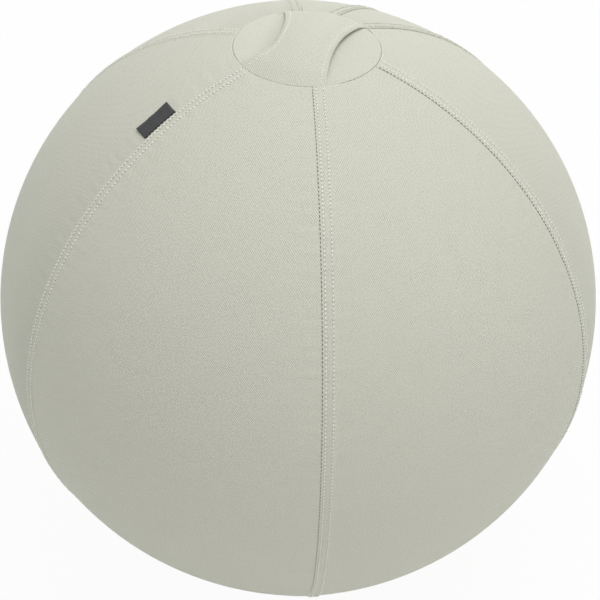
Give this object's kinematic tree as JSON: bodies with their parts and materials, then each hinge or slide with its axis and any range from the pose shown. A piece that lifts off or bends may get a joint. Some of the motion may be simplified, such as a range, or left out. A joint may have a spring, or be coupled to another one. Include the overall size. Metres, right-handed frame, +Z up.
{
  "type": "sitting ball",
  "caption": "Sitting ball: an inflated ball in a pale twill cover of sewn gores, with a carry strap over the crown, a zip down the back and a flat foot.",
  "frame": {"origin": "on the floor, under the middle of the ball", "axes": "+Z up through the crown; the carry strap runs along Y; +Y is the zip side; -Y is the front gore"},
  "size_m": [0.652, 0.6509, 0.6577],
  "materials": {
    "cover_cloth": "matte",
    "label_weave": "matte",
    "bladder_vinyl": "satin",
    "plug_plastic": "satin",
    "ballast_sand": "matte",
    "zip_tape": "matte",
    "zip_plastic": "satin",
    "slider_metal": "satin"
  },
  "bodies": {
    "cover": {"crown_disc": "cover_cloth", "base_disc": "cover_cloth", "gore_front": "cover_cloth", "gore_front_right": "cover_cloth", "gore_rear_right": "cover_cloth", "gore_rear_half_right": "cover_cloth", "gore_rear_half_left": "cover_cloth", "gore_rear_left": "cover_cloth", "gore_front_left": "cover_cloth", "label_tag": "label_weave", "bladder": "bladder_vinyl", "valve_plug": "plug_plastic", "ballast_sand": "ballast_sand", "zip_tape_right": "zip_tape", "zip_tape_left": "zip_tape", "zip_teeth_right": "zip_plastic", "zip_teeth_left": "zip_plastic", "zip_end_stop": "zip_plastic", "zip_top_stops": "zip_plastic"},
    "slider": {"zip_slider": "slider_metal"},
    "pull": {"zip_pull": "slider_metal"},
    "handle": {"carry_handle": "cover_cloth"}
  },
  "joints": [
    {"name": "slider_travel", "type": "hinge", "parent": "cover", "child": "slider", "pos_m": [0, 0, 0.32113], "axis": [1, 0, 0], "range_deg": [0, 65], "deforming": ["zip_teeth_right", "zip_teeth_left"]},
    {"name": "pull_swing", "type": "hinge", "parent": "slider", "child": "pull", "pos_m": [0, 0.26407, 0.1281], "axis": [1, 0, 0], "range_deg": [-34, 141]},
    {"name": "handle_lift", "type": "slide", "parent": "cover", "child": "handle", "axis": [0, 0, 1], "range_m": [0, 0.012]}
  ]
}
